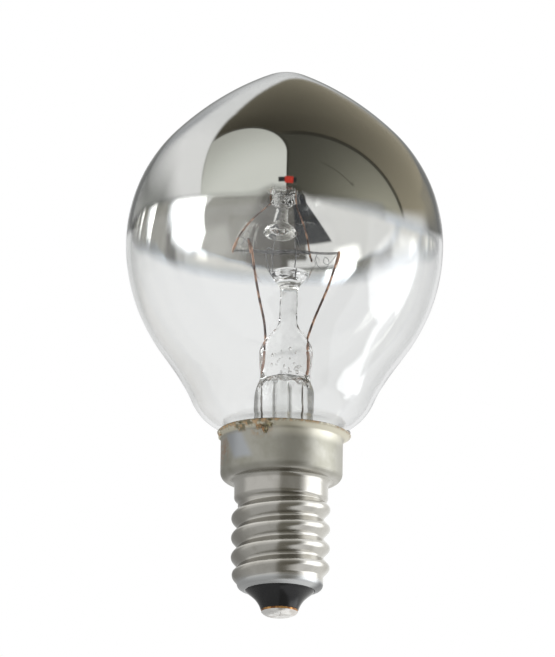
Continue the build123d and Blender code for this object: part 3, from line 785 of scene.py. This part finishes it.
# Glass stem in one run: hollow foot, pressed pinch, rod and button. Each key gives the height, half
# width, half depth and shift to the right.
STEM_KEYS = [
    (26.0, 4.2, 4.2, 0.12),
    (31.4, 4.2, 4.2, 0.24),
    (32.8, 4.05, 3.9, 0.28),
    (33.7, 3.75, 3.1, 0.31),
    (34.5, 3.55, 2.35, 0.33),
    (35.5, 3.58, 1.85, 0.36),
    (37.2, 3.74, 1.7, 0.4),
    (38.7, 3.74, 1.7, 0.44),
    (39.7, 3.42, 1.68, 0.48),
    (40.7, 2.7, 1.6, 0.53),
    (41.7, 1.9, 1.5, 0.58),
    (42.4, 1.42, 1.36, 0.62),
    (42.9, 1.27, 1.27, 0.64),
    (45.2, 1.24, 1.24, 0.69),
    (47.5, 1.28, 1.28, 0.74),
    (48.1, 1.5, 1.5, 0.75),
    (48.7, 2.0, 2.0, 0.76),
    (49.3, 2.48, 2.48, 0.77),
    (49.8, 2.58, 2.56, 0.78),
    (50.2, 2.32, 2.3, 0.78),
    (50.42, 1.6, 1.6, 0.78),
    (50.47, 0.7, 0.7, 0.78),
]
flare_radius = NECK_RADIUS - FLANGE_WIDTH - TUBE_RADIUS
flare_centre = (TUBE_RADIUS + flare_radius, FLANGE_TOP + flare_radius)
stem_bore = joined(
    [(0, ROOF_HEIGHT)],
    bezier(
        (ROOF_RADIUS, ROOF_HEIGHT),
        (ROOF_BEND, ROOF_HEIGHT),
        (TUBE_BORE, ROOF_START),
        (TUBE_BORE, BORE_TOP),
        10,
    ),
    [(TUBE_BORE, BORE_MIDDLE)],
    arc(flare_centre, flare_radius + TUBE_WALL, 180, 270, 12),
    [(NECK_RADIUS, FLANGE_BOTTOM), (NECK_RADIUS, FLANGE_TOP)],
    arc(flare_centre, flare_radius, 270, 180, 12),
)
stem_sections = [(z, r, r, BORE_SHIFT if z > SHIFT_FROM else 0.0) for r, z in stem_bore]
stem_sections += through(STEM_KEYS, STEM_STEPS) + [(STEM_KEYS[-1][0], 0, 0, STEM_KEYS[-1][3])]


def stem_shape(row, angle, p):
    """Point of the stem, uneven where the glass was pressed and drawn."""
    x, y, z = p
    if z < UNEVEN_FROM:
        return p
    if row < len(stem_bore):
        return (x, y, z + ROOF_UNEVEN * noise.noise(Vector((1.3 * x, 1.3 * y, 4.7))))
    push = UNEVEN * min(1.0, (z - UNEVEN_FROM) / 2) * noise.noise(Vector((x, y, z)) * 0.9)
    return (x + push * math.cos(angle), y + push * math.sin(angle), z + 0.5 * push)


# Air in the pinch: small bubbles, drops just above its foot and one flat void
bubbles = []
upright = ((1, 0, 0), (0, 1, 0), (0, 0, 1))
for i in range(BUBBLES):
    place = (draw.uniform(-1.5, 2.0), draw.uniform(-0.9, 0.7), draw.uniform(34.9, 38.9))
    size = draw.uniform(0.07, 0.17)
    bubbles.append(blob(place, (size, size, draw.uniform(1.0, 2.2) * size), upright, i, 0.3))
for i in range(DROPS):
    place = (draw.uniform(-0.9, 2.3), draw.uniform(-1.0, 0.2), draw.uniform(34.75, 36.3))
    sizes = (draw.uniform(0.1, 0.3), draw.uniform(0.08, 0.16), draw.uniform(0.1, 0.35))
    bubbles.append(blob(place, sizes, upright, 20 + i, 0.5))
bubbles.append(blob((0.35, -0.75, 34.65), (0.9, 0.25, 0.1), upright, 40, 0.2))
stem_mesh = gathered(loft(stem_sections, STEM_SEGMENTS, False, stem_shape), *bubbles)
bubble_faces = sum(len(faces) for verts, faces in bubbles)
stem = add_piece("stem_glass", *stem_mesh, "stem_glass", ["stem_flare", "support_rod"], bubble_faces)
dress(stem, stem_glass)

# Lead wires with their kinks, folded over at the filament, and the red wires in the pinch
LEFT_LEAD = [
    (-2.45, 0.0, 38.6),
    (-2.5, 0.0, 39.9),
    (-2.72, -0.5, 42.6),
    (-3.45, -1.1, 45.8),
    (-4.08, -1.72, 49.1),
    (-4.38, -2.15, 51.1),
    (-4.68, -2.5, 52.9),
    (-4.95, -2.62, 53.75),
    (-5.12, -2.78, 54.1),
    (-5.1, -2.95, 53.8),
    (-4.9, -2.9, 52.9),
    (-4.72, -2.75, 52.0),
]
RIGHT_LEAD = [
    (3.28, 0.0, 38.6),
    (3.32, 0.0, 40.0),
    (3.62, 0.14, 41.2),
    (4.3, 0.5, 43.3),
    (5.3, 1.05, 45.9),
    (6.3, 1.55, 48.5),
    (7.08, 2.0, 51.1),
    (7.4, 2.15, 52.2),
    (7.62, 2.22, 53.2),
    (7.72, 2.05, 53.6),
    (7.78, 1.86, 53.3),
    (7.62, 1.8, 52.5),
    (7.36, 1.7, 51.7),
]
LEFT_SEAL = [(-2.45, 0.0, 38.6), (-2.55, -0.05, 37.4), (-2.6, 0.05, 36.2), (-2.75, 0.0, 34.9)]
RIGHT_SEAL = [
    (3.28, 0.0, 38.6),
    (3.42, -0.1, 37.7),
    (3.36, 0.08, 36.7),
    (3.3, -0.04, 35.8),
    (3.05, 0.0, 34.9),
]
for name, points, radius, slot, node, mat in (
    ("lead_left", LEFT_LEAD, LEAD_RADIUS, "lead_wire", "inner_lead_left", lead_metal),
    ("lead_right", RIGHT_LEAD, LEAD_RADIUS, "lead_wire", "inner_lead_right", lead_metal),
    ("seal_left", LEFT_SEAL, SEAL_RADIUS, "seal_copper", "seal_wire_left", seal_red),
    ("seal_right", RIGHT_SEAL, SEAL_RADIUS, "seal_copper", "seal_wire_right", seal_red),
):
    wire_mesh = tube(through(points, LEAD_STEPS), radius, LEAD_SIDES, LEAD_LUMPS)
    wire = add_piece(name, *wire_mesh, slot, [node])
    dress(wire, mat)

# Coiled filament between the leads, with a curled tail at each end, and its two hooks
FILAMENT_ENDS = ((-4.6, -2.3, 52.62), (7.56, 2.2, 53.5))
start, end = (Vector(p) for p in FILAMENT_ENDS)
coil_way = (end - start).normalized()
coil_side = coil_way.orthogonal().normalized()
coil_up = coil_way.cross(coil_side)
coil_steps = round((end - start).length / COIL_PITCH) * COIL_STEPS
coil = []
for i in range(coil_steps + 1):
    t = i / coil_steps
    a = 2 * math.pi * i / COIL_STEPS
    sag = FILAMENT_SAG * math.sin(3 * math.pi * t)
    middle = start.lerp(end, t) - Vector((0, 0, sag))
    beside = middle + coil_side * (COIL_RADIUS * math.cos(a))
    coil.append(tuple(beside + coil_up * (COIL_RADIUS * math.sin(a))))
LEFT_TAIL = [
    (-4.9, -2.45, 53.3),
    (-5.6, -2.75, 54.1),
    (-6.5, -3.0, 54.4),
    (-6.95, -3.1, 53.8),
    (-6.4, -3.0, 53.2),
    (-5.75, -2.8, 53.7),
    (-5.9, -2.85, 54.8),
    (-5.3, -2.65, 55.4),
    (-4.8, -2.5, 54.9),
]
RIGHT_TAIL = [
    (7.4, 2.1, 53.3),
    (6.9, 1.9, 52.5),
    (6.2, 1.6, 51.7),
    (5.6, 1.3, 51.9),
    (5.75, 1.4, 52.7),
    (6.3, 1.6, 52.3),
    (6.15, 1.5, 51.4),
    (5.4, 1.2, 50.9),
    (4.7, 0.9, 51.4),
    (4.45, 0.8, 52.3),
    (4.6, 0.9, 53.0),
]
tails = [tube(through(points, TAIL_STEPS), TAIL_WIRE, TAIL_SIDES) for points in (LEFT_TAIL, RIGHT_TAIL)]
coil_mesh = gathered(tube(coil, COIL_WIRE, COIL_SIDES), *tails)
coil_piece = add_piece("coil", *coil_mesh, "tungsten", ["filament"])
dress(coil_piece, tungsten)
LEFT_HOOK = [
    (-1.75, -0.55, 49.3),
    (-2.2, -0.95, 50.5),
    (-2.6, -1.4, 52.1),
    (-2.5, -1.68, 53.0),
    (-2.15, -1.5, 53.2),
    (-1.8, -1.1, 52.9),
    (-1.72, -1.0, 51.4),
    (-1.62, -0.9, 50.0),
]
RIGHT_HOOK = [
    (1.35, -0.1, 49.4),
    (1.5, -0.05, 51.0),
    (1.66, -0.1, 52.7),
    (1.62, -0.22, 53.35),
    (1.55, 0.05, 53.55),
    (1.5, 0.32, 53.2),
]
for name, points, node in (
    ("hook_left", LEFT_HOOK, "support_hook_left"),
    ("hook_right", RIGHT_HOOK, "support_hook_right"),
):
    hook_mesh = tube(through(points, HOOK_STEPS), HOOK_RADIUS, HOOK_SIDES)
    hook = add_piece(name, *hook_mesh, "tungsten", [node])
    dress(hook, tungsten)

# The other nodes keep their solids' shapes
for name, mat in (
    ("exhaust_tube", stem_glass),
    ("outer_lead_contact", copper),
    ("outer_lead_shell", copper),
    ("centre_contact", brass),
    ("contact_solder", solder),
    ("base_cement", cement),
    ("side_solder", solder),
):
    dress(nodes[name], mat)


# Studio: the world's light by direction, in degrees. Above the horizon it is a plan counted from
# straight up, with x to the right and y towards the camera.
WHITE = (1.0, 1.0, 1.0)
BLACK = (0.0, 0.0, 0.0)
SEAM_COLOUR = (0.03, 0.028, 0.022)
ROOM_COLOUR = (0.14, 0.135, 0.125)
PANEL_X = -32.0
PANEL_Y = 30.0
PANEL_WIDTH = 32.5
PANEL_DEPTH = 36.5
PANEL_ROUNDNESS = 1.75


def make_sky(tree):
    """Directions in the studio, and masks for the ways in which the light has come."""
    way = tree.nodes.new("ShaderNodeTexCoord").outputs["Generated"]
    way_x, way_y, way_z = split(tree, way)
    toward = calc(tree, "MULTIPLY", way_y, -1.0)
    azimuth = calc(tree, "MULTIPLY", calc(tree, "ARCTAN2", way_x, toward), DEGREES)
    from_top = calc(tree, "MULTIPLY", calc(tree, "ARCCOSINE", way_z), DEGREES)
    elevation = calc(tree, "SUBTRACT", 90.0, from_top)
    level = calc(tree, "MAXIMUM", total(tree, 1e-6, (way_x, way_x), (way_y, way_y)), 1e-6)
    stretch = calc(tree, "DIVIDE", from_top, calc(tree, "SQRT", level))
    x = calc(tree, "MULTIPLY", way_x, stretch)
    y = calc(tree, "MULTIPLY", toward, stretch)
    path = tree.nodes.new("ShaderNodeLightPath").outputs
    mirrored = calc(tree, "GREATER_THAN", path["Transmission Depth"], 2.5)
    return SimpleNamespace(
        way_z=way_z,
        azimuth=azimuth,
        from_top=from_top,
        elevation=elevation,
        dip=total(tree, 4.6, (elevation, 1.0)),
        x=x,
        y=y,
        xx=calc(tree, "MULTIPLY", x, x),
        yy=calc(tree, "MULTIPLY", y, y),
        upper=ramp(tree, elevation, 14.0, 22.0),
        lower=ramp(tree, elevation, 25.0, 20.0),
        left=ramp(tree, total(tree, 29.6, (x, 0.759), (y, 0.651)), -1.5, 1.2, 1.0, 0.0),
        path=path,
        mirrored=mirrored,
        bare=outside(tree, mirrored),
        filmed=both(tree, mirrored, calc(tree, "GREATER_THAN", path["Glossy Depth"], 0.5)),
        twice=both(tree, mirrored, calc(tree, "GREATER_THAN", path["Glossy Depth"], 1.5)),
    )


def surroundings(tree, sky):
    """Pale all round, with a duller strip low behind on the left."""
    light = blend(tree, ramp(tree, sky.way_z, -0.6, 0.8), (0.86, 0.86, 0.86), (0.76, 0.765, 0.77))
    strip = span(tree, sky.azimuth, -168.0, -106.0, 10.0)
    strip = both(tree, strip, span(tree, sky.elevation, 0.0, 26.0, 4.0))
    light = blend(tree, strip, light, (0.64, 0.645, 0.64))
    # Dark low band at the back, which only the film shows
    behind = ramp(tree, calc(tree, "ABSOLUTE", sky.azimuth), 118.0, 136.0)
    behind = both(tree, sky.filmed, behind, span(tree, sky.elevation, -4.0, 26.0, 4.0))
    return blend(tree, behind, light, (0.2, 0.2, 0.19))


def add_ceiling(tree, sky, light):
    """Ceiling, dark overhead and paler to the right and behind."""
    shine = total(tree, 0.06, (sky.x, 0.001), (sky.y, -0.0008), (sky.xx, 3e-5), (sky.yy, 5e-5))
    ceiling = blend(tree, shine, BLACK, (1.0, 0.905, 0.68))
    back = total(tree, 0.0, (sky.y, -1.0), (calc(tree, "MAXIMUM", sky.x, 0.0), -1.2))
    ceiling = blend(tree, ramp(tree, back, 44.0, 62.0), ceiling, (0.7, 0.705, 0.71))
    return blend(tree, sky.upper, light, ceiling)


def add_front_wall(tree, sky, light):
    """Front wall on the right, below a dark seam, with a thin wire and its knot."""
    seam = total(tree, -10.7, (sky.y, 1.0), (sky.x, 0.18), (sky.xx, 0.0017))
    shine = total(tree, 0.053, (sky.y, 0.0004), (sky.xx, 6.3e-5))
    wall = blend(tree, shine, BLACK, (1.0, 0.975, 0.79))
    light = blend(tree, both(tree, sky.upper, ramp(tree, seam, -0.8, 0.8)), light, wall)
    line = both(tree, sky.upper, span(tree, seam, -2.1, 1.9, 0.9), ramp(tree, sky.x, -6.0, 6.0))
    light = blend(tree, calc(tree, "MULTIPLY", line, 0.85), light, SEAM_COLOUR)
    wire = both(tree, span(tree, sky.x, 22.5, 48.0, 1.0), span(tree, sky.y, 31.75, 32.65, 0.3))
    knot = both(tree, span(tree, sky.x, 45.6, 47.8, 0.4), span(tree, sky.y, 30.6, 32.8, 0.4))
    wire = calc(tree, "MULTIPLY", calc(tree, "MAXIMUM", wire, knot), 0.5)
    return blend(tree, wire, light, SEAM_COLOUR)


def add_left_wall(tree, sky, light):
    """White wall on the left, duller in a streak and towards the left rear."""
    pale = blend(tree, ramp(tree, sky.x, -36.0, -18.0), (0.8, 0.8, 0.805), (0.71, 0.715, 0.72))
    nearer = calc(tree, "MAXIMUM", total(tree, 22.0, (sky.y, 1.0)), 0.0)
    rear = total(tree, 0.0, (sky.from_top, 1.0), (nearer, -0.6))
    pale = blend(tree, ramp(tree, rear, 46.0, 72.0), pale, (0.2, 0.205, 0.195))
    streak = both(tree, span(tree, sky.x, -24.0, -13.0, 5.0), span(tree, sky.y, -64.0, -47.0, 5.0))
    pale = blend(tree, calc(tree, "MULTIPLY", streak, 0.7), pale, (0.3, 0.31, 0.32))
    return blend(tree, both(tree, sky.left, sky.upper), light, pale)


def add_panel(tree, sky, light):
    """Light panel above and left of the camera, with a round corner and a dark frame."""
    side = calc(tree, "MAXIMUM", total(tree, -PANEL_X / PANEL_WIDTH, (sky.x, 1 / PANEL_WIDTH)), 0.0)
    top = calc(tree, "MAXIMUM", total(tree, PANEL_Y / PANEL_DEPTH, (sky.y, -1 / PANEL_DEPTH)), 0.0)
    side = calc(tree, "POWER", side, PANEL_ROUNDNESS)
    corner = calc(tree, "ADD", side, calc(tree, "POWER", top, PANEL_ROUNDNESS))
    low_end = both(tree, ramp(tree, sky.from_top, 69.0, 66.0), outside(tree, sky.left))
    framed = both(tree, ramp(tree, corner, 1.05, 1.12, 1.0, 0.0), low_end, ramp(tree, sky.x, -30.0, -12.0))
    light = blend(tree, calc(tree, "MULTIPLY", framed, 0.8), light, (0.04, 0.038, 0.03))
    panel = both(tree, ramp(tree, corner, 0.98, 1.03, 1.0, 0.0), low_end)
    glow = blend(tree, ramp(tree, sky.y, -8.0, 40.0), (0.43, 0.435, 0.4), (0.68, 0.69, 0.65))
    return blend(tree, panel, light, glow)


def add_shelf(tree, sky, light):
    """Dark shelf under the panel, which only the film shows, and a small clip, black with a red middle."""
    shelf = both(tree, sky.filmed, span(tree, sky.azimuth, -62.0, -2.0, 3.0))
    shelf = both(tree, shelf, span(tree, sky.elevation, -2.0, 22.5, 1.5))
    light = blend(tree, shelf, light, (0.2, 0.205, 0.19))
    clip = both(tree, span(tree, sky.y, 51.5, 55.5, 0.7), span(tree, sky.x, -5.5, 8.5, 0.7))
    light = blend(tree, clip, light, (0.03, 0.03, 0.03))
    clip = both(tree, span(tree, sky.y, 51.0, 56.5, 0.7), span(tree, sky.x, -0.5, 6.0, 0.7))
    return blend(tree, clip, light, (0.5, 0.05, 0.035))


def add_room(tree, sky, light):
    """Room in front, with a nook and a dark slanted shape that only the mirror shows."""
    room_end = ramp(tree, total(tree, 0.0, (sky.azimuth, 1.0), (sky.mirrored, -17.0)), 65.0, 61.0)
    room = both(tree, ramp(tree, sky.azimuth, -5.0, -1.0), room_end, ramp(tree, sky.dip, -66.0, -56.0))
    inner = blend(tree, ramp(tree, sky.azimuth, 22.0, 42.0), ROOM_COLOUR, (0.33, 0.325, 0.3))
    light = blend(tree, both(tree, room, sky.lower), light, inner)
    nook = both(tree, sky.mirrored, span(tree, sky.azimuth, -17.0, 0.0, 1.5))
    nook = both(tree, nook, span(tree, sky.dip, -60.0, -3.0, 2.0))
    light = blend(tree, nook, light, ROOM_COLOUR)
    slant = total(tree, 46.0, (sky.azimuth, 1.0), (sky.dip, 0.42))
    shape = both(tree, sky.mirrored, ramp(tree, slant, 0.0, 2.0), span(tree, sky.azimuth, -50.0, -9.0, 1.5))
    shape = both(tree, shape, span(tree, sky.dip, -60.0, -15.0, 1.5))
    light = blend(tree, shape, light, (0.032, 0.035, 0.042))
    # Paler on the left where the film mirrors its own far side
    again = both(tree, sky.twice, ramp(tree, sky.azimuth, 6.0, -4.0), sky.lower)
    return blend(tree, calc(tree, "MULTIPLY", again, 0.6), light, WHITE)


def add_rim(tree, sky, light):
    """Dark rim, mirrored by the globe's outside at its left and right edges."""
    rim = both(tree, sky.bare, span(tree, calc(tree, "ABSOLUTE", sky.azimuth), 130.0, 168.0, 6.0))
    rim = both(tree, rim, span(tree, sky.elevation, 14.6, 26.0, 0.8))
    return blend(tree, rim, light, (0.16, 0.162, 0.158))


def add_window(tree, sky, light):
    """Bright window on the right, with a rounded top corner and a dimmer, narrow low end."""
    under = calc(tree, "MAXIMUM", total(tree, -18.0, (sky.elevation, -1.0)), 0.0)
    sill = both(tree, ramp(tree, sky.elevation, -36.5, -33.0), span(tree, sky.azimuth, 104.0, 115.0, 2.0))
    sill = both(tree, sky.bare, calc(tree, "MAXIMUM", sill, ramp(tree, sky.elevation, -32.5, -29.0)))
    sill = calc(tree, "MAXIMUM", sill, both(tree, sky.mirrored, ramp(tree, sky.dip, -43.0, -37.0)))
    jamb = total(tree, 0.0, (sky.azimuth, 1.0), (under, total(tree, -1.2, (sky.mirrored, 0.3))))
    window = both(tree, ramp(tree, jamb, 66.0, 71.0), sill)
    bend = both(tree, sky.bare, calc(tree, "MAXIMUM", total(tree, 92.0, (sky.azimuth, -1.0)), 0.0))
    bend = calc(tree, "MULTIPLY", bend, bend)
    lintel = total(tree, 0.0, (sky.elevation, 1.0), (sky.mirrored, 8.0), (bend, 0.0265))
    window = both(tree, window, ramp(tree, sky.azimuth, 119.0, 114.0), ramp(tree, lintel, 12.0, 4.0))
    narrow = both(tree, sky.bare, ramp(tree, sky.azimuth, 108.5, 111.5))
    narrow = both(tree, narrow, ramp(tree, sky.elevation, -18.0, -21.0))
    return blend(tree, window, light, blend(tree, narrow, (3.6, 3.65, 3.7), (1.6, 1.62, 1.64)))


def add_lamp(tree, sky, light):
    """Small lamp on the left."""
    lamp = span(tree, sky.azimuth, -59.0, -41.0, 5.0)
    lamp = both(tree, lamp, span(tree, sky.elevation, -13.0, 4.0, 4.0))
    return blend(tree, lamp, light, (2.2, 2.2, 2.15))


def add_cap_light(tree, sky, light):
    """Plainer light for the cap, whose metal and cement mirror nothing sharply."""
    over = ramp(tree, sky.elevation, 20.0, 45.0)
    plain = blend(tree, ramp(tree, sky.elevation, -25.0, 15.0), (0.6, 0.6, 0.59), (0.85, 0.85, 0.84))
    plain = blend(tree, span(tree, sky.azimuth, -168.0, -100.0, 8.0), plain, (0.5, 0.5, 0.49))
    plain = blend(tree, ramp(tree, sky.azimuth, 108.0, 120.0), plain, (1.1, 1.1, 1.08))
    plain = blend(tree, over, plain, (1.2, 1.2, 1.19))
    dark = blend(tree, ramp(tree, sky.elevation, -10.0, 15.0), (0.22, 0.21, 0.18), (0.36, 0.355, 0.33))
    dark = blend(tree, over, dark, (0.8, 0.79, 0.76))
    plain = blend(tree, span(tree, sky.azimuth, -4.0, 50.0, 3.0), plain, dark)
    pane = blend(tree, ramp(tree, sky.elevation, 18.0, 40.0), (2.6, 2.63, 2.66), (1.4, 1.41, 1.43))
    pane = blend(tree, ramp(tree, sky.elevation, -22.0, -42.0), pane, WHITE)
    plain = blend(tree, span(tree, sky.azimuth, 62.0, 116.0, 8.0), plain, pane)
    return blend(tree, outside(tree, sky.path["Is Singular Ray"]), light, plain)


def add_even_light(tree, sky, light):
    """Even light for what is only seen through the glass, and white behind all."""
    unmirrored = calc(tree, "LESS_THAN", sky.path["Glossy Depth"], 0.5)
    through_only = both(tree, unmirrored, sky.path["Is Transmission Ray"])
    light = blend(tree, calc(tree, "MULTIPLY", through_only, 0.45), light, (0.88, 0.88, 0.88))
    return blend(tree, sky.path["Is Camera Ray"], light, WHITE)


def make_studio():
    world = bpy.data.worlds.new("studio")
    scene.world = world
    world.use_nodes = True
    tree = world.node_tree
    tree.nodes.clear()
    sky = make_sky(tree)
    light = surroundings(tree, sky)
    for add in (
        add_ceiling,
        add_front_wall,
        add_left_wall,
        add_panel,
        add_shelf,
        add_room,
        add_rim,
        add_window,
        add_lamp,
        add_cap_light,
        add_even_light,
    ):
        light = add(tree, sky, light)
    background = tree.nodes.new("ShaderNodeBackground")
    put(tree, background.inputs["Color"], light)
    output = tree.nodes.new("ShaderNodeOutputWorld")
    tree.links.new(background.outputs[0], output.inputs["Surface"])


make_studio()

# Pale floor, far below the lamp, in metres
FLOOR_SIZE = 26.0
FLOOR_HEIGHT = -2.6
FLOOR_COLOURS = ((0.9, 0.9, 0.89), (0.93, 0.93, 0.92))
bpy.ops.mesh.primitive_plane_add(size=FLOOR_SIZE, location=(0, 0, FLOOR_HEIGHT))
floor = bpy.context.object
floor.name = "floor"
floor_mat, tree, shader, where = material("floor", FLOOR_COLOURS[0], Roughness=0.8)
put(tree, shader.inputs["Base Color"], blend(tree, grain(tree, where, 30.0), *FLOOR_COLOURS))
dress(floor, floor_mat)
floor.visible_glossy = False
floor.visible_transmission = False

# Camera, far off, low and in front, tilted up and turned a little about its line of sight, in
# metres and degrees
CAMERA_TILT = 14.0
CAMERA_ROLL = 0.8
CAMERA_DISTANCE = 3.0
VIEW_HEIGHT = 0.0931
VIEW_MIDDLE = 0.04184
VIEW_SHIFT = -0.00084
SENSOR_HEIGHT = 36.0
tilt = math.radians(CAMERA_TILT)
roll = math.radians(CAMERA_ROLL)
forward = Vector((0, math.cos(tilt), math.sin(tilt)))
upward = Vector((0, -math.sin(tilt), math.cos(tilt)))
right = Vector((1, 0, 0))
cam_right = right * math.cos(roll) + upward * math.sin(roll)
cam_up = upward * math.cos(roll) - right * math.sin(roll)
target = Vector((0, 0, VIEW_MIDDLE)) + cam_right * VIEW_SHIFT
camera_data = bpy.data.cameras.new("camera")
camera_data.sensor_fit = "VERTICAL"
camera_data.sensor_height = SENSOR_HEIGHT
camera_data.lens = SENSOR_HEIGHT * CAMERA_DISTANCE / VIEW_HEIGHT
camera_data.clip_start = 0.01
camera = bpy.data.objects.new("camera", camera_data)
scene.collection.objects.link(camera)
place = Matrix((cam_right, cam_up, -forward)).transposed().to_4x4()
place.translation = target - forward * CAMERA_DISTANCE
camera.matrix_world = place
scene.camera = camera
scene.view_settings.view_transform = "Standard"
scene.cycles.max_bounces = 20
scene.cycles.transmission_bounces = 20
scene.cycles.glossy_bounces = 8
scene.cycles.transparent_max_bounces = 16
